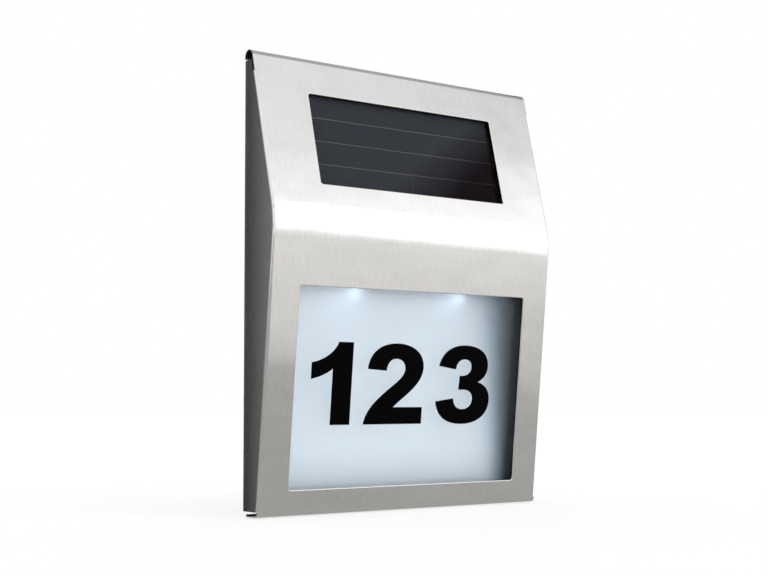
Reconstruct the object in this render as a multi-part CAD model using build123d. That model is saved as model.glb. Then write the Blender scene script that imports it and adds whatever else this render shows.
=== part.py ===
from build123d import *
from math import cos, radians, sin, tan
import os

# Solar-lit house number plaque, in millimetres. X runs along the wall, +Y points into the wall
# and Z is up. The wall plane is Y = 0, so a depth is a distance in front of it. Heights are
# measured from the plaque's lower edge until the parts are written out: there the origin moves
# up to the middle between the two hanging holes, on the wall plane.

# Cover: one folded sheet of brushed stainless steel
cover_width = 160.0
cover_height = 201.6
sheet = 0.5
foot_depth = 11.75         # outer face of the lower panel, at the lower edge
lower_lean = 5.75          # degrees, the lower panel leans forward as it rises
upper_lean = 13.95         # degrees, the upper panel leans back to the top
upper_rise = 74.6          # from the bend up to the top edge
bend_radius = 45.0
fold_radius = 1.4          # outer radius of the two side folds
curl_radius = 3.2          # outer radius of the rolled top edge
curl_hook = 15.0           # degrees that the roll turns in, past its rearmost point
flange_radius = 2.0        # outer radius of the bottom fold
wall_gap = 1.0             # from the sides' rear edges to the wall
bottom_gap = 3.2           # from the bottom flange to the wall
bottom_lip = 1.2           # height that the bottom flange turns up to, along its rear edge
lip_radius = 0.9           # outer radius of that fold
strip_inset = 0.1          # the rolled edge and the bottom flange stop short of the sides
side_gap = 0.3             # from the bottom fold to the side flange
curl_gap = 1.5             # from the middle of the roll down to the side flange
relief_length = 5.0        # slit between side flange and front, below the roll
relief_width = 1.0

# Windows in the cover
number_window_width = 129.5
number_sill = 11.2         # height of its lower edge
number_head = 28.4         # from its upper edge to the bend
solar_sill = 16.6          # from the bend to the lower edge of the solar window
solar_side_show = 0.75     # the solar window reaches this far past the cells, at each side
solar_end_lap = 0.6        # the cells reach this far past the window, above and below
window_radius = 1.2

# Panels behind the windows
gasket = 0.7
gasket_set_back = 0.6
panel_lap = 3.5            # how far each panel reaches past its window
panel_thickness = 2.0
glass_thickness = 1.2
cell_thickness = 0.3
backing_thickness = 1.6
cell_field_width = 104.6
cell_field_height = 43.6
cell_gap = 0.45
cell_rows = 4
cell_columns = 2
reflector_thickness = 1.0
reflector_side_gap = 3.0

# Rear housing: a moulded tray
housing_fit = 0.3
wall = 1.8
back_wall = 2.2
rib = 1.5
corner_radius = 0.6
tray_gap = 1.1             # from the bottom flange's lip up to the tray
chamber_margin = 1.0       # the light chamber is this much larger than its window
hook_gap = 0.45            # between the rolled edge and the tray's lip
lip_end_gap = 5.0

# Hanging keyholes
keyhole_spacing = 90.0
keyhole_rise = 25.0        # from the bend up to the entry holes
keyhole_radius = 4.5
keyhole_slot = 4.5
keyhole_travel = 8.0
keyhole_pocket = 4.5       # depth behind the back wall, for the screw heads
pocket_margin = 2.0

# Light source and electronics
led_inset = 11.0           # from the board's end to the middle of the LED
led_radius = 2.5
led_flange_radius = 2.9
led_flange = 1.0
led_body = 7.2             # from the flange to the flat end
led_lead = 0.5
led_lead_pitch = 2.54
led_rise = 1.6             # from the chamber's upper ribs to the LED's flange
board_width = 82.0
board_height = 11.8
board_thickness = 1.6
board_post = 4.8           # height of the posts that carry the board
board_post_radius = 3.0
board_screw_inset = 4.0
board_gap = 0.6            # above the chamber ribs
chip_size = (5.0, 4.0, 1.5)
chip_place = -14.0
inductor_radius = 2.5
inductor_waist = 1.7
inductor_length = 6.0
capacitor_radius = 2.5
capacitor_length = 8.0
capacitor_place = 14.0

# Slide switch on the board's rear side
switch_place = 13.0
switch_width = 12.5
switch_height = 6.0
switch_wall = 0.7
switch_clearance = 0.2     # between switch and back wall
slider_knob_width = 4.0
slider_knob_height = 2.4
slider_travel = 3.5
slider_base_width = 6.0
slider_base_height = 4.0
slider_base = 1.2
slider_recess = 0.4        # the knob stays this far behind the wall plane
slider_fit = 0.3

# AA cell, its bay and its door
cell_radius = 7.1
cell_length = 50.5
nub_radius = 2.75
nub_length = 1.0
cell_rim = 0.6
bay_fit = 0.4
bay_gap = 1.1              # between board and bay
contact_thickness = 0.4
contact_width = 10.0
spring_length = 5.0
spring_height = 11.0
door_thickness = 1.6
door_recess = 0.2
door_lap = 1.2
door_fit = 0.2
door_tail = 8.0            # the end of the door that takes the screw
door_tab = (1.4, 5.0, 0.8)
door_tab_spacing = 9.0

# Screws
screw_radius = 1.0
screw_head_radius = 2.0
screw_head = 0.9
screw_length = 5.0
pilot_fit = 0.1
cover_screw_spacing = 100.0
cover_screw_radius = 1.2
cover_screw_head_radius = 2.3
cover_screw_length = 7.0
countersink_fit = 0.15
boss_radius = 2.6
drive_slot = 0.5

standing = (Align.CENTER, Align.CENTER, Align.MIN)
bend_height = cover_height - upper_rise
keyhole_height = bend_height + keyhole_rise
board_screw_spacing = board_width - 2 * board_screw_inset
led_spacing = board_width - 2 * led_inset
cover_screw_depth = bottom_gap + sheet + housing_fit + boss_radius
lower_tan = tan(radians(lower_lean))
upper_tan = tan(radians(upper_lean))
lower_cos = cos(radians(lower_lean))
upper_cos = cos(radians(upper_lean))
lower_sin = sin(radians(lower_lean))
upper_sin = sin(radians(upper_lean))


# Depth of a plane that lies the given inset behind the lower or upper outer face
def lower_depth(height, inset=0.0):
    return foot_depth + height * lower_tan - inset / lower_cos


def upper_depth(height, inset=0.0):
    bend_depth = lower_depth(bend_height)
    return bend_depth - (height - bend_height) * upper_tan - inset / upper_cos


# Closed side outline behind both faces, with the bend rounded
def side_outline(inset, bottom, top, rear):
    apex = bend_height + inset * (1 / lower_cos - 1 / upper_cos) / (lower_tan + upper_tan)
    outline = Polygon(
        (-rear, bottom),
        (-rear, top),
        (-upper_depth(top, inset), top),
        (-lower_depth(apex, inset), apex),
        (-lower_depth(bottom, inset), bottom),
        align=None,
    )
    bend = outline.vertices().sort_by(Axis.X)[0]
    return fillet(bend, bend_radius - inset)


def across(profile, half_width):
    return extrude(Plane.YZ * profile, amount=half_width, both=True)


# Block in front of the wall, from one depth to another
def block(left, right, bottom, top, near, far):
    middle = Pos((left + right) / 2, (bottom + top) / 2)
    return extrude(Plane.XZ.offset(near) * middle * Rectangle(right - left, top - bottom), far - near)


# Rectangular rib frame that stands on the back wall
def rib_frame(half_width, bottom, top, thickness):
    middle = Pos(0, (bottom + top) / 2)
    opening = Rectangle(2 * half_width, top - bottom)
    outside = Rectangle(2 * (half_width + thickness), top - bottom + 2 * thickness)
    return extrude(Plane.XZ * middle * (outside - opening), cover_reach)


def plate(plane, inset, thickness, outline):
    return extrude(plane.offset(-inset - thickness) * outline, thickness)


number_top = bend_height - number_head
number_middle = (number_sill + number_top) / 2
number_window_height = (number_top - number_sill) / lower_cos
solar_window_width = cell_field_width + 2 * solar_side_show
solar_window_height = cell_field_height - 2 * solar_end_lap
solar_bottom = bend_height + solar_sill
solar_top = solar_bottom + solar_window_height * upper_cos
solar_middle = (solar_bottom + solar_top) / 2
cover_reach = lower_depth(bend_height)
half = cover_width / 2

lower_face = Plane((0, -lower_depth(number_middle), number_middle), (1, 0, 0), (0, -lower_cos, -lower_sin))
upper_face = Plane((0, -upper_depth(solar_middle), solar_middle), (1, 0, 0), (0, -upper_cos, upper_sin))

curl_middle = cover_height - curl_radius
curl_depth = upper_depth(curl_middle, curl_radius)
side_bottom = flange_radius + side_gap
side_top = curl_middle - curl_gap
relief_bottom = side_top - relief_length

number_window = RectangleRounded(number_window_width, number_window_height, window_radius)
solar_window = RectangleRounded(solar_window_width, solar_window_height, window_radius)
number_outline = Rectangle(number_window_width + 2 * panel_lap, number_window_height + 2 * panel_lap)
solar_outline = Rectangle(solar_window_width + 2 * panel_lap, solar_window_height + 2 * panel_lap)

# Insets of the layers behind the outer faces
layer_front = sheet + gasket
number_back = layer_front + panel_thickness
cell_front = layer_front + glass_thickness
backing_front = cell_front + cell_thickness
solar_back = backing_front + backing_thickness


# Front cover
def fold_edges(solid, half_width):
    def on_fold(edge):
        on_side = abs(abs(edge.center().X) - half_width) < 0.01
        return on_side and abs((edge % 0.5).Z) > 0.5 and edge.center().Y < -wall_gap - sheet
    return solid.edges().filter_by(on_fold)


def rolled_edge():
    start = 180 - upper_lean
    outer = CenterArc((-curl_depth, curl_middle), curl_radius, -curl_hook, start + curl_hook)
    inner = CenterArc((-curl_depth, curl_middle), curl_radius - sheet, -curl_hook, start + curl_hook)
    front = (-upper_depth(relief_bottom), relief_bottom)
    back = (-upper_depth(relief_bottom, sheet), relief_bottom)
    edges = [
        Line(front, outer @ 1), outer, Line(outer @ 0, inner @ 0),
        inner, Line(inner @ 1, back), Line(back, front),
    ]
    return across(make_face(Curve() + edges), half - strip_inset)


def bottom_flange():
    lip_front = bottom_gap + sheet
    outline = Polygon(
        (-bottom_gap, 0),
        (-bottom_gap, bottom_lip),
        (-lip_front, bottom_lip),
        (-lip_front, sheet),
        (-lower_depth(sheet, sheet), sheet),
        (-lower_depth(side_bottom, sheet), side_bottom),
        (-lower_depth(side_bottom), side_bottom),
        (-lower_depth(0), 0),
        align=None,
    )
    folds = [
        ((-lower_depth(0), 0), flange_radius),
        ((-lower_depth(sheet, sheet), sheet), flange_radius - sheet),
        ((-bottom_gap, 0), lip_radius),
        ((-lip_front, sheet), lip_radius - sheet),
    ]
    for corner, radius in folds:
        outline = fillet(outline.vertices().sort_by_distance(corner)[0], radius)
    return across(outline, half - strip_inset)


def make_front_cover():
    outside = across(side_outline(0, side_bottom, relief_bottom, wall_gap), half)
    outside = fillet(fold_edges(outside, half), fold_radius)
    inside = across(side_outline(sheet, 0, cover_height, 0), half - sheet)
    inside = fillet(fold_edges(inside, half - sheet), fold_radius - sheet)
    cover = outside - inside + rolled_edge() + bottom_flange()

    slit = sheet + relief_width
    tongue = Polygon(
        (-wall_gap, relief_bottom),
        (-upper_depth(relief_bottom, slit), relief_bottom),
        (-upper_depth(side_top, slit), side_top),
        (-wall_gap, side_top),
        align=None,
    )
    for side in (-1, 1):
        cover += Pos(side * (half - sheet / 2), 0, 0) * across(tongue, sheet / 2)

    cover -= extrude(lower_face * number_window, 2 * sheet, both=True)
    cover -= extrude(upper_face * solar_window, 2 * sheet, both=True)
    hole_radius = cover_screw_head_radius + countersink_fit
    for place in cover_screw_places():
        cover -= place * Pos(0, 0, sheet / 2) * Cone(hole_radius, hole_radius - sheet, sheet)
    return cover


# Panels and seals behind the windows
def window_gasket(face, outline, width, height):
    opening = RectangleRounded(width + 2 * gasket_set_back, height + 2 * gasket_set_back, window_radius)
    return plate(face, sheet, gasket, outline - opening)


def make_solar_cells():
    cell_width = (cell_field_width - (cell_columns - 1) * cell_gap) / cell_columns
    cell_height = (cell_field_height - (cell_rows - 1) * cell_gap) / cell_rows
    places = GridLocations(cell_width + cell_gap, cell_height + cell_gap, cell_columns, cell_rows)
    cells = [
        plate(upper_face, cell_front, cell_thickness, place * Rectangle(cell_width, cell_height))
        for place in places
    ]
    return Compound(cells)


chamber_half = number_window_width / 2 + chamber_margin
chamber_bottom = number_sill - chamber_margin
chamber_top = number_top + chamber_margin


def make_reflector():
    side = chamber_half - reflector_side_gap
    low = chamber_bottom + housing_fit
    high = chamber_top - housing_fit
    return block(-side, side, low, high, back_wall, back_wall + reflector_thickness)


# Places that several pieces share
panel_rise = (number_window_height / 2 + panel_lap) * lower_cos
number_seat_top = number_middle + panel_rise + number_back * lower_sin + housing_fit
number_seat_bottom = number_middle - panel_rise + sheet * lower_sin - housing_fit
rib_top = number_seat_top + rib

board_bottom = rib_top + board_gap
board_top = board_bottom + board_height
board_middle = (board_bottom + board_top) / 2
board_rear = back_wall + board_post
board_front = board_rear + board_thickness
led_depth = board_front + housing_fit + led_flange_radius
led_seat = rib_top + led_rise
switch_rear = back_wall + switch_clearance

bay_bottom = board_top + bay_gap + rib
bay_middle = bay_bottom + cell_radius + bay_fit
bay_top = bay_middle + cell_radius + bay_fit
bay_left = -cell_length / 2 - spring_length
bay_right = cell_length / 2 + contact_thickness
door_seat = door_recess + door_thickness
cell_depth = door_seat + bay_fit + cell_radius
bay_front = cell_depth + cell_radius + bay_fit
door_screw_place = bay_right + door_lap + door_tail / 2


def cover_screw_places():
    return [Pos(x * cover_screw_spacing / 2, -cover_screw_depth, 0) for x in (-1, 1)]


def board_screw_places():
    return [Pos(x * board_screw_spacing / 2, 0, board_middle) for x in (-1, 1)]


def along_depth(radius, near, far):
    return extrude(Plane.XZ.offset(near) * Circle(radius), far - near)


# Rear housing: the seat ribs and screw bosses end at the back of the number panel
def behind_number_panel():
    outline = Polygon(
        (0, 0), (0, bend_height),
        (-lower_depth(bend_height, number_back), bend_height), (-lower_depth(0, number_back), 0),
        align=None,
    )
    return across(outline, half)


def number_seat():
    seat = rib_frame(chamber_half, chamber_bottom, chamber_top, rib)
    height = chamber_bottom - sheet
    for place in cover_screw_places():
        seat += place * Pos(0, 0, sheet + height / 2) * Cylinder(boss_radius, height)
    return seat & behind_number_panel()


def solar_seat():
    behind_panel = Polygon(
        (0, bend_height), (0, cover_height),
        (-upper_depth(cover_height, solar_back), cover_height),
        (-upper_depth(bend_height, solar_back), bend_height),
        align=None,
    )
    drop = solar_back * upper_sin
    low = solar_bottom - drop - chamber_margin
    high = solar_top - drop + chamber_margin
    seat = rib_frame(solar_window_width / 2 + chamber_margin, low, high, rib)
    return seat & across(behind_panel, half)


def panel_fences():
    number_half = number_window_width / 2 + panel_lap + housing_fit
    solar_half = solar_window_width / 2 + panel_lap + housing_fit
    solar_rise = (solar_window_height / 2 + panel_lap) * upper_cos
    solar_low = solar_middle - solar_rise - solar_back * upper_sin - housing_fit
    solar_high = solar_middle + solar_rise - sheet * upper_sin + housing_fit
    fences = rib_frame(number_half, number_seat_bottom, number_seat_top, rib)
    return fences + rib_frame(solar_half, solar_low, solar_high, rib)


def keyhole_outline():
    entry = Circle(keyhole_radius)
    slot = Pos(0, keyhole_travel / 2) * Rectangle(keyhole_slot, keyhole_travel)
    return entry + slot + Pos(0, keyhole_travel) * Circle(keyhole_slot / 2)


def keyhole_pocket_block(side, margin, far):
    reach = keyhole_radius + margin
    middle = side * keyhole_spacing / 2
    top = keyhole_height + keyhole_travel + reach
    return block(middle - reach, middle + reach, keyhole_height - reach, top, back_wall, far)


def make_rear_housing():
    tray_half = half - sheet - housing_fit
    tray_bottom = bottom_lip + tray_gap
    tray_height = side_top - tray_bottom
    middle = Pos(0, tray_bottom + tray_height / 2)
    outline = middle * RectangleRounded(2 * tray_half, tray_height, corner_radius)
    hollow = middle * Rectangle(2 * (tray_half - wall), tray_height - 2 * wall)
    inside_cover = across(side_outline(sheet + housing_fit, 0, cover_height, 0), half)

    tray = extrude(Plane.XZ * outline, back_wall)
    walls = extrude(Plane.XZ * (outline - hollow), cover_reach)
    tray += (walls + panel_fences()) & inside_cover
    tray += number_seat() + solar_seat()

    # Lip that the cover's rolled edge hangs on
    lip_rear = curl_depth - (curl_radius - sheet) + hook_gap
    lip_half = tray_half - lip_end_gap
    lip_top = curl_middle + hook_gap
    tray += block(-lip_half, lip_half, side_top - wall, lip_top, lip_rear, lip_rear + wall)

    # Battery bay, with a seat for its door
    tray += block(bay_left - rib, bay_right + rib, bay_bottom - rib, bay_top + rib, 0, bay_front + rib)
    door_right = door_screw_place + door_tail / 2 + rib
    tray += block(bay_right, door_right, bay_bottom - rib, bay_top + rib, 0, door_seat + screw_length + rib)
    tray -= block(bay_left, bay_right, bay_bottom, bay_top, 0, bay_front)
    tray -= door_outline(door_fit, 0, door_seat)
    for tab in door_tabs(door_fit):
        tray -= tab
    pilot = screw_radius + pilot_fit
    tray -= Pos(door_screw_place, 0, bay_middle) * along_depth(pilot, door_seat, door_seat + screw_length)

    # Posts for the circuit board, and a slot for the switch
    for place in board_screw_places():
        tray += place * along_depth(board_post_radius, back_wall, board_rear)
        tray -= place * along_depth(pilot, board_rear - screw_length + board_thickness, board_rear)
    slot_half = (slider_knob_width + slider_travel) / 2 + slider_fit
    slot_rise = slider_knob_height / 2 + slider_fit
    tray -= block(
        switch_place - slot_half, switch_place + slot_half,
        board_middle - slot_rise, board_middle + slot_rise, 0, back_wall,
    )

    # Holes for the LEDs through the top of the light chamber
    hole_height = rib_top - chamber_top
    for side in (-1, 1):
        hole = Cylinder(led_radius + housing_fit, hole_height, align=standing)
        tray -= Pos(side * led_spacing / 2, -led_depth, chamber_top) * hole

    # Pilot holes for the cover's screws
    for place in cover_screw_places():
        depth = cover_screw_length + pilot_fit - sheet
        tray -= place * Pos(0, 0, sheet + depth / 2) * Cylinder(cover_screw_radius + pilot_fit, depth)
        mouth = cover_screw_head_radius + countersink_fit - sheet
        taper = mouth - cover_screw_radius - pilot_fit
        tray -= place * Pos(0, 0, sheet + taper / 2) * Cone(mouth, mouth - taper, taper)

    # Keyholes, each with a closed pocket for the screw head
    pocket_front = back_wall + keyhole_pocket
    for side in (-1, 1):
        tray += keyhole_pocket_block(side, pocket_margin + rib, pocket_front + rib)
        tray -= keyhole_pocket_block(side, pocket_margin, pocket_front)
        place = Pos(side * keyhole_spacing / 2, keyhole_height)
        tray -= extrude(Plane.XZ * place * keyhole_outline(), back_wall)
    return tray


# Battery door
def door_outline(clearance, near, far):
    left = bay_left - door_lap - clearance
    right = door_screw_place + door_tail / 2 + clearance
    reach = cell_radius + bay_fit + door_lap + clearance
    return block(left, right, bay_middle - reach, bay_middle + reach, near, far)


def door_tabs(clearance):
    reach, height, thickness = door_tab
    left = bay_left - door_lap
    tabs = []
    for side in (-1, 1):
        middle = bay_middle + side * door_tab_spacing / 2
        low = middle - height / 2 - clearance
        high = middle + height / 2 + clearance
        near = door_seat - thickness - clearance
        tabs.append(block(left - reach - clearance, left, low, high, near, door_seat))
    return tabs


def make_battery_door():
    door = door_outline(0, door_recess, door_seat)
    for tab in door_tabs(0):
        door += tab
    place = Pos(door_screw_place, 0, bay_middle)
    door -= place * along_depth(screw_radius + pilot_fit, 0, door_seat)
    door -= place * along_depth(screw_head_radius + door_fit, 0, door_recess + screw_head)
    return door


# Screws, with a crossed drive recess
def drive_cross(size, depth):
    across_head = Box(size, drive_slot, 2 * depth)
    return across_head + Rot(0, 0, 90) * across_head


def pan_screw():
    head = Cylinder(screw_head_radius, screw_head, align=standing)
    head = chamfer(head.edges().sort_by(Axis.Z)[-1], screw_head / 3)
    shank = Cylinder(screw_radius, screw_length, align=(Align.CENTER, Align.CENTER, Align.MAX))
    return head + shank - Pos(0, 0, screw_head) * drive_cross(screw_head_radius, screw_head / 2)


def make_door_screw():
    seat = door_recess + screw_head
    turned = Plane((door_screw_place, -seat, bay_middle), (1, 0, 0), (0, 1, 0))
    return turned * pan_screw()


def make_board_screws():
    turned = Plane((0, -board_front, 0), (1, 0, 0), (0, -1, 0))
    return Compound([place * (turned * pan_screw()) for place in board_screw_places()])


def make_cover_screws():
    head = cover_screw_head_radius - cover_screw_radius
    cone = Cone(cover_screw_head_radius, cover_screw_radius, head, align=standing)
    shank = Cylinder(cover_screw_radius, cover_screw_length, align=standing)
    screw = cone + shank - drive_cross(cover_screw_head_radius, head / 2)
    return Compound([place * screw for place in cover_screw_places()])


# Circuit board and what is soldered to it
def make_circuit_board():
    board = block(-board_width / 2, board_width / 2, board_bottom, board_top, board_rear, board_front)
    for place in board_screw_places():
        board -= place * along_depth(screw_radius + pilot_fit, board_rear, board_front)
    return board


def make_led(side):
    rim = led_radius / 5
    end = -led_flange - led_body
    outline = Polyline(
        (0, 0), (led_flange_radius, 0), (led_flange_radius, -led_flange), (led_radius, -led_flange),
        (led_radius, end + rim), (led_radius - rim, end), (0, end), close=True,
    )
    lens = revolve(Plane.XZ * make_face(outline), Axis.Z)
    run = led_depth - board_front
    for pitch in (-1, 1):
        place = pitch * led_lead_pitch / 2
        rise = Box(led_lead, led_lead, 2 * led_flange, align=standing)
        bend = Box(led_lead, run, led_lead, align=(Align.CENTER, Align.MIN, Align.MAX))
        lens += Pos(place, 0, 0) * rise + Pos(place, 0, 2 * led_flange) * bend
    return Pos(side * led_spacing / 2, -led_depth, led_seat) * lens


def make_control_chip():
    width, height, depth = chip_size
    left = chip_place - width / 2
    low = board_middle - height / 2
    chip = block(left, left + width, low, low + height, board_front, board_front + depth)
    upper_edges = chip.faces().sort_by(Axis.Y)[0].edges()
    return chamfer(upper_edges, depth / 6)


def make_inductor():
    end = inductor_length / 6
    edges = Polyline(
        (0, 0), (inductor_radius, 0), (inductor_radius, end), (inductor_waist, end),
        (inductor_waist, inductor_length - end), (inductor_radius, inductor_length - end),
        (inductor_radius, inductor_length), (0, inductor_length), close=True,
    )
    drum = revolve(Plane.XZ * make_face(edges), Axis.Z)
    return Plane((0, -board_front, board_middle), (1, 0, 0), (0, -1, 0)) * drum


def make_capacitor():
    can = Cylinder(capacitor_radius, capacitor_length, align=standing)
    can = chamfer(can.edges().sort_by(Axis.Z)[-1], capacitor_radius / 5)
    return Plane((capacitor_place, -board_front, board_middle), (1, 0, 0), (0, -1, 0)) * can


# Slide switch, shown switched on
slider_rest = switch_place + slider_travel / 2


def make_switch_body():
    left = switch_place - switch_width / 2
    low = board_middle - switch_height / 2
    body = block(left, left + switch_width, low, low + switch_height, switch_rear, board_rear)
    body -= block(
        left + switch_wall, left + switch_width - switch_wall,
        low + switch_wall, low + switch_height - switch_wall,
        switch_rear + switch_wall, board_rear - switch_wall,
    )
    slot_half = (slider_knob_width + slider_travel) / 2 + slider_fit
    slot_rise = slider_knob_height / 2 + slider_fit
    return body - block(
        switch_place - slot_half, switch_place + slot_half,
        board_middle - slot_rise, board_middle + slot_rise,
        switch_rear, switch_rear + switch_wall,
    )


def make_switch_slider():
    near = switch_rear + switch_wall + slider_fit
    base = block(
        slider_rest - slider_base_width / 2, slider_rest + slider_base_width / 2,
        board_middle - slider_base_height / 2, board_middle + slider_base_height / 2,
        near, near + slider_base,
    )
    knob = block(
        slider_rest - slider_knob_width / 2, slider_rest + slider_knob_width / 2,
        board_middle - slider_knob_height / 2, board_middle + slider_knob_height / 2,
        slider_recess, near,
    )
    grip = switch_wall
    for offset in (-1, 0, 1):
        middle = slider_rest + offset * slider_knob_width / 3
        knob -= block(middle - grip / 2, middle + grip / 2, 0, board_top, 0, slider_recess + grip / 2)
    return base + knob


# Battery and its contacts
def make_battery_cell():
    body_length = cell_length - nub_length
    can = Cylinder(cell_radius, body_length, align=standing)
    can = chamfer(can.edges().filter_by(GeomType.CIRCLE), cell_rim)
    nub = Cylinder(nub_radius, nub_length, align=standing)
    cell = can + Pos(0, 0, body_length) * nub
    return Plane((-cell_length / 2, -cell_depth, bay_middle), (0, 1, 0), (1, 0, 0)) * cell


def make_battery_contact():
    reach = contact_width / 2
    return block(
        cell_length / 2, bay_right, bay_middle - reach, bay_middle + reach,
        cell_depth - reach, cell_depth + reach,
    )


# Bowed leaf between the bay's end wall and the flat end of the cell
def make_battery_spring():
    reach = spring_height / 2
    crown = bay_left + spring_length
    outer = ThreePointArc((bay_left, -reach), (crown, 0), (bay_left, reach))
    inner_reach = reach - contact_thickness
    inner_crown = crown - contact_thickness
    inner = ThreePointArc((bay_left, -inner_reach), (inner_crown, 0), (bay_left, inner_reach))
    edges = [outer, Line(outer @ 1, inner @ 1), inner, Line(inner @ 0, outer @ 0)]
    leaf = Pos(0, -cell_depth) * make_face(Curve() + edges)
    return Pos(0, 0, bay_middle) * extrude(leaf, contact_width / 2, both=True)


parts = {
    "front_cover": make_front_cover(),
    "rear_housing": make_rear_housing(),
    "number_panel": plate(lower_face, layer_front, panel_thickness, number_outline),
    "panel_gasket": window_gasket(lower_face, number_outline, number_window_width, number_window_height),
    "reflector": make_reflector(),
    "solar_glass": plate(upper_face, layer_front, glass_thickness, solar_outline),
    "solar_cells": make_solar_cells(),
    "solar_backing": plate(upper_face, backing_front, backing_thickness, solar_outline),
    "solar_gasket": window_gasket(upper_face, solar_outline, solar_window_width, solar_window_height),
    "circuit_board": make_circuit_board(),
    "board_screws": make_board_screws(),
    "led_left": make_led(-1),
    "led_right": make_led(1),
    "control_chip": make_control_chip(),
    "inductor": make_inductor(),
    "capacitor": make_capacitor(),
    "switch_body": make_switch_body(),
    "switch_slider": make_switch_slider(),
    "battery_cell": make_battery_cell(),
    "battery_spring": make_battery_spring(),
    "battery_contact": make_battery_contact(),
    "battery_door": make_battery_door(),
    "door_screw": make_door_screw(),
    "cover_screws": make_cover_screws(),
}

os.makedirs("parts", exist_ok=True)
for name, solid in parts.items():
    export_step(Pos(0, 0, -keyhole_height) * solid, f"parts/{name}.step")
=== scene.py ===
from math import radians

import bmesh
import bpy
from mathutils import Matrix, Vector


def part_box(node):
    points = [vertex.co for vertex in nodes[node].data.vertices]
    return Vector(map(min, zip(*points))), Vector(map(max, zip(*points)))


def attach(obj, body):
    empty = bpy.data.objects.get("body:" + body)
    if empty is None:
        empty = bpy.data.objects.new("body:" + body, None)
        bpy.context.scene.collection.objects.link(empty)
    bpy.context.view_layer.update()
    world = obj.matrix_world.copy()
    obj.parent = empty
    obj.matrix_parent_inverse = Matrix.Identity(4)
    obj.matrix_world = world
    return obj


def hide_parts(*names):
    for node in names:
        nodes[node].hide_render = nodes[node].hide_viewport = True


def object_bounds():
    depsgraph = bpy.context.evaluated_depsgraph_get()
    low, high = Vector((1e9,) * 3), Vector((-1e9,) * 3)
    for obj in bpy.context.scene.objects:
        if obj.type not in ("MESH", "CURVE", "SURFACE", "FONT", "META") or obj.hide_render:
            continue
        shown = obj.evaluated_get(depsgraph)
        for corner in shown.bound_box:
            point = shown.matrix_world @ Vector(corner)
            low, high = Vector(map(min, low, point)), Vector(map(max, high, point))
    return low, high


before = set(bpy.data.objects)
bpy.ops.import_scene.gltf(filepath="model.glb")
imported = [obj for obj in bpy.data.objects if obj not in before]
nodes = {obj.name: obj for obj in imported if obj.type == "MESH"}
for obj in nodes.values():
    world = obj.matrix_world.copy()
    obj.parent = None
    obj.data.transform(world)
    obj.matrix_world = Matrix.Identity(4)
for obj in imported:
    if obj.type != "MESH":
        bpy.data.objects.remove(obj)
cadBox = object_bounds()
scene = bpy.context.scene
mm = 0.001
touch = 0.01 * mm                # points this close lie on one plane
frontward = -0.5                 # a front face's normal has a Y below this
noiseSpan = (0.3, 0.7)           # most of a noise lies between these
print("frame loaded,", len(nodes), "CAD nodes")


# helpers for node trees
def addNode(tree, kind, inputs=None, **settings):
    node = tree.nodes.new(kind)
    for name, value in settings.items():
        setattr(node, name, value)
    for name, value in (inputs or {}).items():
        if isinstance(value, bpy.types.NodeSocket):
            tree.links.new(value, node.inputs[name])
        else:
            node.inputs[name].default_value = value
    return node


def newMaterial(name, **inputs):
    material = bpy.data.materials.new(name)
    material.use_nodes = True
    tree = material.node_tree
    shader = tree.nodes["Principled BSDF"]
    for key, value in inputs.items():
        shader.inputs[key.replace("_", " ")].default_value = value
    return material, tree, shader


# links sources to a node's inputs
def feed(tree, node, **sources):
    for key, source in sources.items():
        tree.links.new(source, node.inputs[key.replace("_", " ")])


def grey(level):
    return (level, level, level, 1)


def greys(stops):
    return [(at, grey(level)) for at, level in stops]


def colour(rgb, factor=1.0):
    return tuple(factor * c for c in rgb) + (1,)


def ramp(tree, source, stops):
    node = addNode(tree, "ShaderNodeValToRGB", {"Fac": source})
    elements = node.color_ramp.elements
    while len(elements) < len(stops):
        elements.new(0.5)
    for element, (position, shade) in zip(elements, stops):
        element.position = position
        element.color = shade
    return node.outputs["Color"]


def remap(tree, source, fromLow, fromHigh, low, high, smooth=False):
    node = addNode(tree, "ShaderNodeMapRange", {
        "Value": source, "From Min": fromLow, "From Max": fromHigh, "To Min": low, "To Max": high,
    })
    if smooth:
        node.interpolation_type = "SMOOTHSTEP"
    return node.outputs["Result"]


def calc(tree, operation, first, second):
    return addNode(tree, "ShaderNodeMath", {0: first, 1: second}, operation=operation).outputs["Value"]


def objectCoords(tree):
    return addNode(tree, "ShaderNodeTexCoord").outputs["Object"]


def axes(tree, vector):
    return addNode(tree, "ShaderNodeSeparateXYZ", {"Vector": vector}).outputs


def objectNoise(tree, scale, detail=3.0):
    return addNode(tree, "ShaderNodeTexNoise", {
        "Vector": objectCoords(tree), "Scale": scale, "Detail": detail,
    }).outputs["Fac"]


def bump(tree, shader, height, strength, distance):
    node = addNode(tree, "ShaderNodeBump", {"Height": height, "Strength": strength, "Distance": distance})
    feed(tree, shader, Normal=node.outputs["Normal"])
    return node


# paints the colour and roughness between two levels, from one noise
def speckled(tree, shader, noise, dark, bright, roughness):
    feed(
        tree, shader,
        Base_Color=ramp(tree, noise, list(zip(noiseSpan, (dark, bright)))),
        Roughness=remap(tree, noise, *noiseSpan, *roughness),
    )


print("helpers ready")

# copies of CAD pieces: merged, smoothed and with rounded edges
copyLook = dict(
    merge=0.002 * mm,
    flat=0.3,                    # degrees, faces this close to one plane are joined
    smoothBelow=36,              # degrees between faces
    roundAbove=50,
    steps=3,
)


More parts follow.
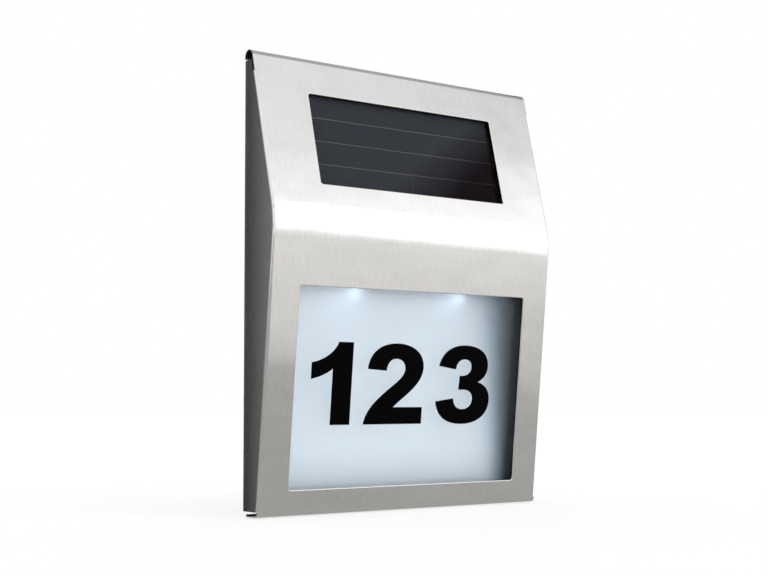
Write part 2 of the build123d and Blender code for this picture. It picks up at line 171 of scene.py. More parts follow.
def finishedCopy(nodeName, pieceName, edge, rim=None):
    mesh = nodes[nodeName].data.copy()
    mesh.materials.clear()
    shape = bmesh.new()
    shape.from_mesh(mesh)
    bmesh.ops.remove_doubles(shape, verts=shape.verts, dist=copyLook["merge"])
    bmesh.ops.dissolve_limit(
        shape, angle_limit=radians(copyLook["flat"]), verts=shape.verts, edges=shape.edges)
    for face in shape.faces:
        face.smooth = True
    weight = shape.edges.layers.float.new("bevel_weight_edge")
    for line in shape.edges:
        angle = line.calc_face_angle(0)
        line.smooth = angle < radians(copyLook["smoothBelow"])
        line[weight] = float(angle > radians(copyLook["roundAbove"]) and (rim is None or rim(line)))
    shape.to_mesh(mesh)
    shape.free()
    rough = bpy.data.objects.new(pieceName + "Rough", mesh)
    scene.collection.objects.link(rough)
    bevel = rough.modifiers.new("edges", "BEVEL")
    bevel.width = edge
    bevel.segments = copyLook["steps"]
    bevel.limit_method = "WEIGHT"
    bevel.use_clamp_overlap = rim is None
    bevel.harden_normals = True
    normals = rough.modifiers.new("normals", "WEIGHTED_NORMAL")
    normals.keep_sharp = True
    bpy.context.view_layer.update()
    final = bpy.data.meshes.new_from_object(rough.evaluated_get(bpy.context.evaluated_depsgraph_get()))
    bpy.data.objects.remove(rough)
    piece = bpy.data.objects.new(pieceName, final)
    scene.collection.objects.link(piece)
    return piece


# steel cover: the CAD sheet with rounded window edges and a brushed finish
coverLook = dict(
    edge=0.4 * mm,
    base=(0.80, 0.797, 0.79),
    streak=0.45 * mm,            # width of a brush mark
    streakLength=11.0,           # times its width
    coarse=5.0,                  # the fewer large marks, times the fine ones' size
    coarseShare=0.15,
    paintedReflectionPatch=(30 * mm, 8 * mm),    # width and height of a faint painted reflection, a blotch standing for a sheet that is not quite flat
    paintedReflectionShare=0.55,
    markSpan=(0.2, 0.95),
    contrast=(0.923, 1.057),
    groove=(0.03, 0.02 * mm),    # strength and depth of the marks' relief
    wave=26 * mm,                # the sheet is not quite flat
    waveHeight=0.25 * mm,
    roughness=(0.155, 0.185),
    anisotropy=0.95,
    turned=0.7,                  # a normal this far along an axis faces that way
    facing=0.9,                  # the same, for the front face
)


# brush marks run up the sheet, and front to back on its top and bottom folds
def layGrain(piece, look):
    mesh = piece.data
    grain = mesh.uv_layers.new(name="grain")
    for face in mesh.polygons:
        across = 1 if abs(face.normal.x) > look["turned"] else 0
        along = 1 if abs(face.normal.z) > look["turned"] else 2
        for corner in face.loop_indices:
            point = mesh.vertices[mesh.loops[corner].vertex_index].co
            grain.data[corner].uv = (point[across], point[along])


def brushedSteel(look):
    material, tree, shader = newMaterial("brushedSteel", Metallic=1.0, Anisotropic=look["anisotropy"])
    uv = addNode(tree, "ShaderNodeUVMap", uv_map="grain").outputs["UV"]

    def marked(width, height, detail):
        size = (1 / width, 1 / height, 1)
        mapped = addNode(tree, "ShaderNodeMapping", {"Vector": uv, "Scale": size})
        return addNode(tree, "ShaderNodeTexNoise", {
            "Vector": mapped.outputs["Vector"], "Scale": 1.0, "Detail": detail,
        }, noise_dimensions="2D").outputs["Fac"]

    width = look["streak"]
    height = width * look["streakLength"]
    fine = marked(width, height, detail=4.0)
    coarse = marked(look["coarse"] * width, look["coarse"] * height, detail=2.0)
    coarse = calc(tree, "MULTIPLY", coarse, look["coarseShare"])
    # painted reflection: faint large blotches in the colour, for the uneven reflections of a sheet that is
    # not quite flat
    share = look["paintedReflectionShare"] / 2
    paintedReflections = remap(tree, marked(*look["paintedReflectionPatch"], detail=2.0), 0, 1, -share, share)
    marks = calc(tree, "ADD", calc(tree, "ADD", fine, coarse), paintedReflections)
    shades = [(at, colour(look["base"], level)) for at, level in zip((0, 1), look["contrast"])]
    tangent = addNode(tree, "ShaderNodeTangent", direction_type="UV_MAP", uv_map="grain")
    feed(
        tree, shader,
        Base_Color=ramp(tree, remap(tree, marks, *look["markSpan"], 0, 1), shades),
        Roughness=remap(tree, fine, *noiseSpan, *look["roughness"]),
        Tangent=tangent.outputs["Tangent"],
    )
    waves = objectNoise(tree, 1 / look["wave"], detail=1.0)
    sheet = addNode(tree, "ShaderNodeBump", {
        "Height": waves, "Strength": 1.0, "Distance": look["waveHeight"],
    })
    grooves = bump(tree, shader, fine, *look["groove"])
    tree.links.new(sheet.outputs["Normal"], grooves.inputs["Normal"])
    return material


panelLow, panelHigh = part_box("number_panel")


def windowRim(line):
    onFront = any(face.normal.y < -coverLook["facing"] for face in line.link_faces)
    return onFront and all(abs(end.co.x) < panelHigh.x and end.co.z > panelLow.z for end in line.verts)


cover = finishedCopy("front_cover", "steelCover", coverLook["edge"], windowRim)
layGrain(cover, coverLook)
cover.data.materials.append(brushedSteel(coverLook))
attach(cover, "plaque")
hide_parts("front_cover")
print("steel cover:", len(cover.data.polygons), "faces")

# rear housing and battery door, black moulded plastic with rounded rear edges
housingLook = dict(edge=0.35 * mm, doorEdge=0.3 * mm)
plasticLook = dict(
    colour=0.016,
    tones=(0.7, 1.4),            # times that colour
    roughness=(0.34, 0.44),
    gloss=0.35,
    speckle=300.0,
    grainScale=1100.0,
    grainDepth=0.2 * mm,
)


def mouldedPlastic(name, **own):
    look = dict(plasticLook, **own)
    material, tree, shader = newMaterial(name, Specular_IOR_Level=look["gloss"])
    dark, bright = [grey(tone * look["colour"]) for tone in look["tones"]]
    speckled(tree, shader, objectNoise(tree, look["speckle"], detail=4.0), dark, bright, look["roughness"])
    bump(tree, shader, objectNoise(tree, look["grainScale"], detail=2.0), 1.0, look["grainDepth"])
    return material


blackPlastic = mouldedPlastic("blackPlastic")
for nodeName, pieceName, edge in (
    ("rear_housing", "rearTray", housingLook["edge"]),
    ("battery_door", "batteryDoor", housingLook["doorEdge"]),
):
    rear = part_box(nodeName)[1].y - touch
    moulding = finishedCopy(
        nodeName, pieceName, edge, lambda line: all(end.co.y > rear for end in line.verts))
    moulding.data.materials.append(blackPlastic)
    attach(moulding, "plaque")
    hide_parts(nodeName)
    print(pieceName, len(moulding.data.polygons), "faces")


# plain metals: their colour in specks, and the roughness spread about its mean
metalLook = dict(grain=300.0, dark=0.85, spread=(0.85, 1.15))


def metal(name, rgb, roughness, metallic=1.0):
    material, tree, shader = newMaterial(name, Metallic=metallic)
    grain = objectNoise(tree, metalLook["grain"])
    rough = [share * roughness for share in metalLook["spread"]]
    speckled(tree, shader, grain, colour(rgb, metalLook["dark"]), colour(rgb), rough)
    return material


# CAD nodes that keep their own mesh get new materials on their slots
def dress(nodeName, material):
    for slot in nodes[nodeName].material_slots:
        slot.material = material


# frosted number panel, and the white card behind it, whose glow is painted LED light with painted shade
# toward its right end and lower edge
panelLook = dict(tint=(0.78, 0.83, 0.865), roughness=(0.70, 0.76), sheen=0.1, bend=1.49, frost=400.0)
glowLook = dict(
    colour=(0.815, 0.858, 0.90),
    strength=0.85,
    # painted shade: the bluer light of the card's shaded right end
    paintedShadeColour=(0.42, 0.72, 1.0),
    paintedEndFade=(44.4 * mm, 60.4 * mm, 0.18),    # painted shade: the light fades from here to here, right of the middle, down to this share
    endSlant=0.06,                           # and farther right below
    paintedEndShade=0.2,                            # painted shade: the card's tone is darkened to this at that end
    paintedFootShade=(2 * mm, 18 * mm, 0.74),        # painted shade, the same up from the lower edge
    paintedHeadLight=(0.5 * mm, 9 * mm, 1.5),        # painted light, the same down from the upper edge, brighter there
    paintedLedPools=((20 * mm, 12 * mm, 0.6), (13 * mm, 5 * mm, 1.0)),   # painted pools of LED light: reach across and down, and strength
    fibre=80.0,
    paper=(0.68, 0.73),
    roughness=(0.55, 0.65),
)


def frostedPanel(look):
    material, tree, shader = newMaterial(
        "frostedPanel", Transmission_Weight=1.0, IOR=look["bend"],
        Specular_Tint=grey(look["sheen"]), Base_Color=colour(look["tint"]))
    frost = objectNoise(tree, look["frost"])
    feed(tree, shader, Roughness=remap(tree, frost, *noiseSpan, *look["roughness"]))
    return material


# painted light: the card's emission stands for the LEDs' light falling on it
def paintedLightCard(look):
    material, tree, shader = newMaterial("paintedLightCard")
    low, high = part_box("reflector")
    coords = objectCoords(tree)
    place = axes(tree, coords)

    # painted shade toward the right end: less light, a darker tone and a bluer colour
    inner, outer, share = look["paintedEndFade"]
    rightward = calc(tree, "ADD", place["X"], calc(tree, "MULTIPLY", place["Z"], look["endSlant"]))
    level = remap(tree, rightward, inner, outer, 1.0, share, smooth=True)
    shade = remap(tree, rightward, inner, outer, 1.0, look["paintedEndShade"], smooth=True)
    light = ramp(tree, level, [(share, colour(look["paintedShadeColour"])), (1.0, colour(look["colour"]))])
    fibres = objectNoise(tree, look["fibre"])
    paper = ramp(tree, fibres, greys(zip(noiseSpan, look["paper"])))
    tone = addNode(tree, "ShaderNodeVectorMath", {0: paper, "Scale": shade}, operation="SCALE")

    # painted shade up from the lower edge, painted light down from the upper edge
    near, far, share = look["paintedFootShade"]
    foot = remap(tree, place["Z"], low.z + near, low.z + far, share, 1.0, smooth=True)
    near, far, share = look["paintedHeadLight"]
    head = remap(tree, place["Z"], high.z - near, high.z - far, share, 1.0, smooth=True)
    level = calc(tree, "MULTIPLY", calc(tree, "MULTIPLY", level, foot), head)
    # painted pools of light around each LED
    for name in ("led_left", "led_right"):
        lampLow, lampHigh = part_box(name)
        spot = ((lampLow.x + lampHigh.x) / 2, low.y, high.z)
        for across, down, brightness in look["paintedLedPools"]:
            reach = (across, across, down)
            around = addNode(tree, "ShaderNodeMapping", {
                "Vector": coords,
                "Location": tuple(-s / r for s, r in zip(spot, reach)),
                "Scale": tuple(1 / r for r in reach),
            }).outputs["Vector"]
            pool = addNode(
                tree, "ShaderNodeTexGradient", {"Vector": around}, gradient_type="QUADRATIC_SPHERE")
            level = calc(tree, "ADD", level, calc(tree, "MULTIPLY", pool.outputs["Fac"], brightness))
    feed(
        tree, shader,
        Base_Color=tone.outputs["Vector"],
        Roughness=remap(tree, fibres, *noiseSpan, *look["roughness"]),
        Emission_Color=light,
        Emission_Strength=calc(tree, "MULTIPLY", level, look["strength"]),
    )
    return material


dress("number_panel", frostedPanel(panelLook))
dress("reflector", paintedLightCard(glowLook))
print("number panel and light box done")

# digits, cut from black film
digitLook = dict(
    number="123",
    height=36.5 * mm,
    gap=7.4 * mm,
    shift=-4.2 * mm,             # from the middle of the panel
    rise=2.0 * mm,
    film=0.1 * mm,
    curveSteps=16,
    colour=0.002,
    tones=(0.7, 1.3),
    roughness=(0.45, 0.55),
    gloss=0.02,
    speckle=500.0,
)

# outlines in hundredths of the height, each after its width:
# a pair is a straight run, six numbers are a curve's two handles and its end
digitOutlines = {
    "1": (60, [
        (31, 0), (60, 0), (60, 100), (38, 100), (35, 90, 20, 78, 0, 75), (0, 55), (14, 58, 26, 63, 31, 68),
    ]),
    "2": (92, [
        (3, 68), (5, 89, 22, 100, 47, 100), (73, 100, 90, 88, 90, 71), (90, 57, 79, 47, 66, 37),
        (57, 30, 50, 26, 45, 21), (91, 21), (91, 0), (0, 0), (3, 15, 12, 25, 32, 40),
        (50, 53, 61, 59, 61, 69), (61, 76, 55, 81, 47, 81), (38, 81, 33, 76, 32, 66),
    ]),
    "3": (90, [
        (3, 73), (7, 90, 22, 100, 45, 100), (70, 100, 85, 90, 85, 74), (85, 64, 79, 57, 69, 53),
        (83, 50, 90, 41, 90, 30), (90, 11, 72, -1, 45, -1), (19, -1, 3, 9, 0, 28), (29, 32),
        (30, 23, 36, 18, 45, 18), (54, 18, 61, 23, 61, 31), (61, 40, 53, 44, 41, 43), (37, 43), (38, 61),
        (49, 60, 57, 64, 57, 72), (57, 79, 52, 82, 45, 82), (37, 82, 32, 77, 31, 69),
    ]),
}


# place of a node's front face, with X along the wall and Z out of the face
def frontFrame(nodeName):
    mesh = nodes[nodeName].data
    front = max(mesh.polygons, key=lambda face: face.area * (face.normal.y < frontward))
    normal = front.normal.normalized()
    level = front.center.dot(normal)
    onFace = [v.co for v in mesh.vertices if abs(v.co.dot(normal) - level) < touch]
    middle = sum(onFace, Vector()) / len(onFace)
    across = Vector((1, 0, 0))
    place = Matrix((across, normal.cross(across), normal)).transposed().to_4x4()
    place.translation = middle
    return place


def digitCurve(look):
    curve = bpy.data.curves.new("digits", "CURVE")
    curve.dimensions = "2D"
    curve.fill_mode = "BOTH"
    curve.resolution_u = look["curveSteps"]
    curve.extrude = look["film"] / 2
    unit = look["height"] / 100
    left = 0.0
    for digit in look["number"]:
        width, steps = digitOutlines[digit]
        spline = curve.splines.new("BEZIER")
        spline.use_cyclic_u = True
        spline.bezier_points.add(len(steps) - 1)
        points = list(spline.bezier_points)
        for point, step in zip(points, steps):
            point.handle_left_type = point.handle_right_type = "FREE"
            here = Vector((left + unit * step[-2], unit * step[-1], 0))
            point.co = point.handle_left = point.handle_right = here
        for index, step in enumerate(steps):
            if len(step) == 6:
                points[index - 1].handle_right = (left + unit * step[0], unit * step[1], 0)
                points[index].handle_left = (left + unit * step[2], unit * step[3], 0)
        left += unit * width + look["gap"]
    return curve, left - look["gap"]


def blackFilm(look):
    material, tree, shader = newMaterial("blackFilm", Specular_IOR_Level=look["gloss"])
    dark, bright = [grey(tone * look["colour"]) for tone in look["tones"]]
    speckled(tree, shader, objectNoise(tree, look["speckle"]), dark, bright, look["roughness"])
    return material


curve, numberWidth = digitCurve(digitLook)
drawn = bpy.data.objects.new("digitsDrawn", curve)
scene.collection.objects.link(drawn)
bpy.context.view_layer.update()
digitMesh = bpy.data.meshes.new_from_object(drawn.evaluated_get(bpy.context.evaluated_depsgraph_get()))
bpy.data.objects.remove(drawn)
corner = (
    digitLook["shift"] - numberWidth / 2,
    digitLook["rise"] - digitLook["height"] / 2,
    digitLook["film"] / 2,
)
digitMesh.transform(frontFrame("number_panel") @ Matrix.Translation(corner))
digits = bpy.data.objects.new("digits", digitMesh)
scene.collection.objects.link(digits)
digitMesh.materials.clear()
digitMesh.materials.append(blackFilm(digitLook))
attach(digits, "plaque")
print("digits:", len(digitMesh.polygons), "faces")

# solar panel: glass over two columns of four cells, with contact lines in the gaps
solarLook = dict(
    glassTint=grey(0.0),
    glassShare=0.12,             # the rest shows through
    glassEdge=0.15 * mm,
    glassGap=0.05 * mm,          # between glass and cells
    glassGloss=0.0,              # the cells below carry the gloss
    glassRoughness=0.05,
    sheen=0.05,
    roughness=(0.12, 0.2),
    grain=150.0,
    cell=(0.092, 0.101, 0.122),
    cellDim=(0.014, 0.008, 0.012),
    downShare=0.55,              # how much the way down counts, beside the way right
    fade=(0.90, 1.27),
    cloud=40.0,
    cloudShare=0.03,
    rows=4,
    rowGap=0.45 * mm,
    line=0.38 * mm,
    lineDepth=0.2 * mm,
    lineColour=(0.29, 0.28, 0.27),
    lineDim=(0.062, 0.055, 0.057),
    middleColour=(0.12, 0.09, 0.085),
    middleRoughness=0.6,
)


# painted light: cells and row contacts are lighter at the upper left and darken toward the lower right
def shadedCell(name, look, bright, dim):
    material, tree, shader = newMaterial(name, Specular_IOR_Level=look["sheen"])
    low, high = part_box("solar_cells")
    place = axes(tree, objectCoords(tree))
    right = remap(tree, place["X"], low.x, high.x, 0, 1)
    down = remap(tree, place["Z"], low.z, high.z, 1, 0)
    share = look["cloudShare"]
    cloud = remap(tree, objectNoise(tree, look["cloud"]), *noiseSpan, -share, share)
    slope = calc(tree, "ADD", right, calc(tree, "MULTIPLY", down, look["downShare"]))
    fade = remap(tree, calc(tree, "ADD", slope, cloud), *look["fade"], 0, 1)
    feed(
        tree, shader,
        Base_Color=ramp(tree, fade, [(0, colour(bright)), (1, colour(dim))]),
        Roughness=remap(tree, objectNoise(tree, look["grain"]), *noiseSpan, *look["roughness"]),
    )
    return material


def contactTree(material):
    tree = bpy.data.node_groups.new("contactLines", "GeometryNodeTree")
    sockets = tree.interface
    sockets.new_socket("Geometry", in_out="INPUT", socket_type="NodeSocketGeometry")
    for name, kind in (("Count", "Int"), ("Pitch", "Float"), ("Size", "Vector")):
        sockets.new_socket(name, in_out="INPUT", socket_type="NodeSocket" + kind)
    sockets.new_socket("Geometry", in_out="OUTPUT", socket_type="NodeSocketGeometry")
    start = tree.nodes.new("NodeGroupInput").outputs
    end = tree.nodes.new("NodeGroupOutput")

    def scaled(vector, factor):
        node = addNode(tree, "ShaderNodeVectorMath", {0: vector, "Scale": factor}, operation="SCALE")
        return node.outputs["Vector"]

    step = addNode(tree, "ShaderNodeCombineXYZ", {"Y": start["Pitch"]}).outputs["Vector"]
    span = scaled(step, calc(tree, "SUBTRACT", start["Count"], 1.0))
    row = addNode(tree, "GeometryNodeMeshLine", {
        "Count": start["Count"], "Start Location": scaled(span, -0.5), "Offset": step,
    })
    bar = addNode(tree, "GeometryNodeMeshCube", {"Size": start["Size"]})
    laid = addNode(tree, "GeometryNodeInstanceOnPoints", {
        "Points": row.outputs["Mesh"], "Instance": bar.outputs["Mesh"],
    })
    real = addNode(tree, "GeometryNodeRealizeInstances", {"Geometry": laid.outputs["Instances"]})
    painted = addNode(tree, "GeometryNodeSetMaterial", {
        "Geometry": real.outputs["Geometry"], "Material": material,
    })
    tree.links.new(painted.outputs["Geometry"], end.inputs["Geometry"])
    return tree


def contactLines(name, material, place, **values):
    tree = contactTree(material)
    base = bpy.data.objects.new(name + "Base", bpy.data.meshes.new(name + "Base"))
    scene.collection.objects.link(base)
    modifier = base.modifiers.new("lines", "NODES")
    modifier.node_group = tree
    for item in tree.interface.items_tree:
        if item.in_out == "INPUT" and item.name in values:
            modifier[item.identifier] = values[item.name]
    bpy.context.view_layer.update()
    mesh = bpy.data.meshes.new_from_object(base.evaluated_get(bpy.context.evaluated_depsgraph_get()))
    bpy.data.objects.remove(base)
    mesh.transform(place)
    piece = bpy.data.objects.new(name, mesh)
    scene.collection.objects.link(piece)
    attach(piece, "plaque")


dress("solar_cells", shadedCell("solarCell", solarLook, solarLook["cell"], solarLook["cellDim"]))
dress("solar_backing", mouldedPlastic("solarBoard", colour=0.02, roughness=(0.5, 0.6), grainScale=700.0))
cellFront = frontFrame("solar_cells")
toCells = cellFront.inverted()
lift = cellFront.to_3x3() @ Vector((0, 0, solarLook["glassGap"]))
glass = finishedCopy("solar_glass", "coverGlass", solarLook["glassEdge"])
for point in glass.data.vertices:
    if (toCells @ point.co).z < solarLook["glassGap"]:
        point.co += lift
glass.data.materials.append(newMaterial(
    "solarGlass", Base_Color=solarLook["glassTint"], Alpha=solarLook["glassShare"],
    Specular_IOR_Level=solarLook["glassGloss"], Roughness=solarLook["glassRoughness"],
)[0])
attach(glass, "plaque")
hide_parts("solar_glass")

cellLow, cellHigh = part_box("solar_cells")
heights = [(toCells @ v.co).y for v in nodes["solar_cells"].data.vertices]
rowPitch = (max(heights) - min(heights) + solarLook["rowGap"]) / solarLook["rows"]
line, depth = solarLook["line"], solarLook["lineDepth"]
sunk = cellFront @ Matrix.Translation((0, 0, -depth / 2))
rowMetal = shadedCell("rowContact", solarLook, solarLook["lineColour"], solarLook["lineDim"])
middleMetal = metal("middleContact", solarLook["middleColour"], solarLook["middleRoughness"], 0.0)
rowSize = (cellHigh.x - cellLow.x, line, depth)
middleSize = (line, rowPitch - solarLook["rowGap"] / 2 - line, depth)
contactLines("rowLines", rowMetal, sunk, Count=solarLook["rows"] - 1, Pitch=rowPitch, Size=rowSize)
contactLines("middleLines", middleMetal, sunk, Count=solarLook["rows"], Pitch=rowPitch, Size=middleSize)
print("solar panel done")

# seals, screws and the works inside
boardLook = dict(
    resist=(0.012, 0.13, 0.05),
    track=(0.03, 0.22, 0.09),
    pitch=2.2 * mm,
    trackWidth=0.09,             # times the pitch, as the two below
    runLength=3.0,
    runHeight=0.9,
    fieldTone=1.2,               # of every other field, times the resist's
    relief=(0.3, 0.03 * mm),
    roughness=0.35,
)
wrapLook = dict(
    sleeve=(0.05, 0.11, 0.20), bare=(0.62, 0.62, 0.60), bareEnd=0.9 * mm,
    grain=250.0, roughness=(0.28, 0.4),
)
lampLook = dict(
    lens=(0.90, 0.94, 1.0), dark=0.95, glow=(0.66, 0.82, 1.0), strength=2.0,
    clear=0.7, bend=1.5, grain=300.0, roughness=(0.08, 0.16),
)


def circuitResist(look):
    material, tree, shader = newMaterial("circuitResist", Roughness=look["roughness"])
    turned = addNode(tree, "ShaderNodeMapping", {
        "Vector": objectCoords(tree), "Rotation": (radians(90), 0, 0),
    })
    tracks = addNode(tree, "ShaderNodeTexBrick", {
        "Vector": turned.outputs["Vector"], "Scale": 1 / look["pitch"], "Mortar Size": look["trackWidth"],
        "Brick Width": look["runLength"], "Row Height": look["runHeight"],
        "Color1": colour(look["resist"]), "Color2": colour(look["resist"], look["fieldTone"]),
        "Mortar": colour(look["track"]),
    })
    feed(tree, shader, Base_Color=tracks.outputs["Color"])
    bump(tree, shader, tracks.outputs["Fac"], *look["relief"])
    return material


# a coloured sleeve with bare metal at both ends
def wrappedCan(nodeName, name, look):
    material, tree, shader = newMaterial(name)
    low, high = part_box(nodeName)
    along = max(range(3), key=lambda axis: high[axis] - low[axis])
    place = axes(tree, objectCoords(tree))[along]
    start = calc(tree, "LESS_THAN", place, low[along] + look["bareEnd"])
    stop = calc(tree, "GREATER_THAN", place, high[along] - look["bareEnd"])
    ends = calc(tree, "ADD", start, stop)
    feed(
        tree, shader,
        Base_Color=ramp(tree, ends, [(0.0, colour(look["sleeve"])), (1.0, colour(look["bare"]))]),
        Metallic=ends,
        Roughness=remap(tree, objectNoise(tree, look["grain"]), *noiseSpan, *look["roughness"]),
    )
    return material


def lampLens(look):
    material, tree, shader = newMaterial(
        "lampLens", IOR=look["bend"], Transmission_Weight=look["clear"], Emission_Color=colour(look["glow"]))
    dark, bright = colour(look["lens"], look["dark"]), colour(look["lens"])
    speckled(tree, shader, objectNoise(tree, look["grain"]), dark, bright, look["roughness"])
    low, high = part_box("led_left")
    height = axes(tree, objectCoords(tree))["Z"]
    feed(tree, shader, Emission_Strength=remap(tree, height, low.z, high.z, look["strength"], 0.0))
    return material


rubber = mouldedPlastic("rubberSeal", colour=0.012, roughness=(0.6, 0.75), grainScale=1200.0, gloss=0.15)
for name in ("panel_gasket", "solar_gasket"):
    dress(name, rubber)
screwSteel = metal("screwSteel", (0.60, 0.60, 0.59), 0.3)
for name in ("cover_screws", "door_screw", "board_screws"):
    dress(name, screwSteel)
dress("switch_slider", mouldedPlastic("sliderKnob", colour=0.03, roughness=(0.35, 0.45), grainScale=600.0))
dress("control_chip", mouldedPlastic("chipEpoxy", colour=0.02, roughness=(0.5, 0.6), grainScale=2000.0))
dress("inductor", mouldedPlastic("ferrite", colour=0.05, roughness=(0.55, 0.7), grainScale=1500.0))
dress("circuit_board", circuitResist(boardLook))
dress("battery_cell", wrappedCan("battery_cell", "cellWrap", wrapLook))
canLook = dict(wrapLook, sleeve=(0.02, 0.02, 0.025), bareEnd=0.4 * mm)
dress("capacitor", wrappedCan("capacitor", "capacitorSleeve", canLook))
dress("switch_body", metal("switchCan", (0.58, 0.58, 0.57), 0.35))
nickel = metal("nickelContact", (0.66, 0.64, 0.59), 0.25)
for name in ("battery_spring", "battery_contact"):
    dress(name, nickel)
lens = lampLens(lampLook)
for name in ("led_left", "led_right"):
    dress(name, lens)
print("inner pieces done")

# stage: pale floor, a shaded wall that only reflections see, soft light and the photo's camera
# four numbers are: from here to here, tone from this to this
floorLook = dict(
    drop=0.4 * mm,
    size=6.0,
    colour=0.5,
    roughness=0.8,
    lift=0.63,                   # white that the camera sees besides the lit floor
    warmth=(1.0, 0.98, 0.95),    # of what reflections see
    away=(0.8, -0.6, 0),         # the way that the front mirrors, seen in the photo
    aside=(0.6, 0.8, 0),
    near=(0.0, 0.4, 0.43, 0.49),
    far=(-0.25, -0.04, 0.87, 0.64),
    distant=(0.6, 2.0, 0.95, 0.98),
    step=(0.44, 0.47),           # where near gives way to far
    behind=(0.05, 0.6, 1.0, 1.9),
)
wallLook = dict(gap=1 * mm, reach=0.45, top=0.3, fade=60 * mm, tones=((0.0, 0.02), (0.3, 0.22), (1.0, 0.29)))
skyLook = dict(
    fill=0.7,
    rightward=(0.6, 0.7, 1.0, 1.36),
    dome=((0.0, 0.90), (0.06, 1.0), (0.62, 1.0), (0.64, 0.55), (0.7, 0.5), (1.0, 0.42)),
)
keyLook = dict(turn=37.5, rise=17.1, away=1.5, width=1.6, height=0.815, roll=-18.0, power=2.4, fadeFrom=0.73)
cameraLook = dict(
    yaw=37.417, pitch=3.127, place=(-400.09, -518.55, -100.90),           # degrees and mm
    image=(768, 576), focalPixels=1408.35, axisRow=320.0, sensor=36.0,    # pixels, and the last in mm
)


def plane(name, corners):
    mesh = bpy.data.meshes.new(name)
    mesh.from_pydata(corners, [], [(0, 1, 2, 3)])
    piece = bpy.data.objects.new(name, mesh)
    scene.collection.objects.link(piece)
    return piece


# painted shadow: in reflections the floor is pale grey near the plaque, where its shadow falls, and paler
# farther out, as its reflection in the steel shows
def paleFloor(look):
    material, tree, shader = newMaterial(
        "paleFloor", Base_Color=grey(look["colour"]), Roughness=look["roughness"], Emission_Color=grey(1))
    rays = addNode(tree, "ShaderNodeLightPath").outputs
    feed(tree, shader, Emission_Strength=remap(tree, rays["Is Camera Ray"], 0, 1, 0, look["lift"]))
    coords = objectCoords(tree)

    def toward(way):
        dot = addNode(tree, "ShaderNodeVectorMath", {0: coords, 1: way}, operation="DOT_PRODUCT")
        return dot.outputs["Value"]

    away = toward(look["away"])
    near = remap(tree, away, *look["near"])
    far = remap(tree, toward(look["aside"]), *look["far"])
    far = calc(tree, "MULTIPLY", far, remap(tree, away, *look["distant"]))
    tone = remap(tree, away, *look["step"], near, far, smooth=True)
    # painted shadow: darker close behind the plaque
    tone = calc(tree, "MULTIPLY", tone, remap(tree, axes(tree, coords)["Y"], *look["behind"]))
    mirrored = addNode(tree, "ShaderNodeEmission", {"Color": colour(look["warmth"]), "Strength": tone})
    mixed = addNode(tree, "ShaderNodeMixShader", {
        0: rays["Is Glossy Ray"], 1: shader.outputs["BSDF"], 2: mirrored.outputs["Emission"],
    })
    feed(tree, tree.nodes["Material Output"], Surface=mixed.outputs["Shader"])
    return material


def shadedWall(look, edge):
    material, tree, shader = newMaterial("shadedWall")
    tree.nodes.remove(shader)    # the wall is a plain tone, lit or not
    across = axes(tree, objectCoords(tree))["X"]
    away = addNode(tree, "ShaderNodeMath", {0: across}, operation="ABSOLUTE").outputs["Value"]
    tone = ramp(tree, remap(tree, away, edge, edge + look["fade"], 0, 1), greys(look["tones"]))
    mirrored = addNode(tree, "ShaderNodeEmission", {"Color": tone})
    feed(tree, tree.nodes["Material Output"], Surface=mirrored.outputs["Emission"])
    return material


half = floorLook["size"] / 2
ground = cadBox[0].z - floorLook["drop"]
floor = plane("floor", [
    (-half, -half, ground), (half, -half, ground), (half, half, ground), (-half, half, ground),
])
floor.data.materials.append(paleFloor(floorLook))
edge = cadBox[1].x + wallLook["gap"]
wallBack = cadBox[1].y + wallLook["gap"]
wallTop = wallLook["top"]
wallTone = shadedWall(wallLook, edge)
for side in (-1, 1):
    inner, outer = side * edge, side * (edge + wallLook["reach"])
    wall = plane("wallShade", [
        (inner, wallBack, ground), (outer, wallBack, ground),
        (outer, wallBack, wallTop), (inner, wallBack, wallTop),
    ])
    wall.data.materials.append(wallTone)
    wall.visible_camera = wall.visible_diffuse = wall.visible_transmission = wall.visible_shadow = False

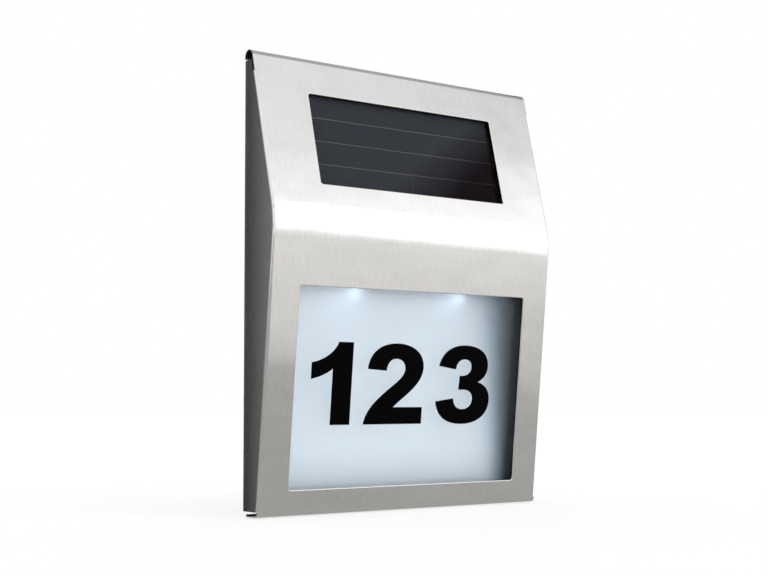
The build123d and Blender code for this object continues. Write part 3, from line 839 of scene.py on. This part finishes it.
# a white background, an even fill, and a dome that only reflections see
world = bpy.data.worlds.new("studio")
scene.world = world
world.use_nodes = True
sky = world.node_tree
background = sky.nodes["Background"]
rays = addNode(sky, "ShaderNodeLightPath").outputs
toSky = axes(sky, addNode(sky, "ShaderNodeTexCoord").outputs["Generated"])
rightward = remap(sky, toSky["X"], *skyLook["rightward"])
dome = ramp(sky, calc(sky, "MULTIPLY", toSky["Z"], rightward), greys(skyLook["dome"]))
direct = calc(sky, "ADD", rays["Is Camera Ray"], rays["Is Transmission Ray"])
glossyOnly = calc(sky, "GREATER_THAN", rays["Is Glossy Ray"], rays["Is Transmission Ray"])
mirrored = calc(sky, "MULTIPLY", glossyOnly, dome)
soft = calc(sky, "MULTIPLY", rays["Is Diffuse Ray"], skyLook["fill"])
feed(sky, background, Strength=calc(sky, "ADD", calc(sky, "ADD", direct, mirrored), soft))
background.inputs["Color"].default_value = grey(1)

# large soft box in front of the plaque, to its right
keyLight = bpy.data.lights.new("softBox", "AREA")
keyLight.shape = "RECTANGLE"
keyLight.size = keyLook["width"]
keyLight.size_y = keyLook["height"]
keyLight.energy = keyLook["power"]
keyLight.use_nodes = True
glow = keyLight.node_tree
across = axes(glow, addNode(glow, "ShaderNodeNewGeometry").outputs["Parametric"])["Y"]
feed(glow, glow.nodes["Emission"], Strength=remap(glow, across, keyLook["fadeFrom"], 1.0, 1.0, 0.0))
softBox = bpy.data.objects.new("softBox", keyLight)
aim = Matrix.Rotation(radians(keyLook["turn"]), 4, "Z")
aim = aim @ Matrix.Rotation(radians(90 - keyLook["rise"]), 4, "X")
aim = aim @ Matrix.Rotation(radians(keyLook["roll"]), 4, "Z")
softBox.matrix_world = Matrix.Translation(aim.to_3x3() @ Vector((0, 0, keyLook["away"]))) @ aim
scene.collection.objects.link(softBox)

imageWidth, imageHeight = cameraLook["image"]
photoLens = bpy.data.cameras.new("photoCamera")
photoLens.sensor_width = cameraLook["sensor"]
photoLens.lens = cameraLook["focalPixels"] * cameraLook["sensor"] / imageWidth
photoLens.shift_y = (cameraLook["axisRow"] - imageHeight / 2) / imageWidth
photoLens.clip_start = 10 * mm
viewer = bpy.data.objects.new("photoCamera", photoLens)
viewer.location = Vector(cameraLook["place"]) * mm
viewer.rotation_euler = (radians(90 + cameraLook["pitch"]), 0, radians(-cameraLook["yaw"]))
scene.collection.objects.link(viewer)
scene.camera = viewer
scene.view_settings.view_transform = "Standard"
print("stage done")
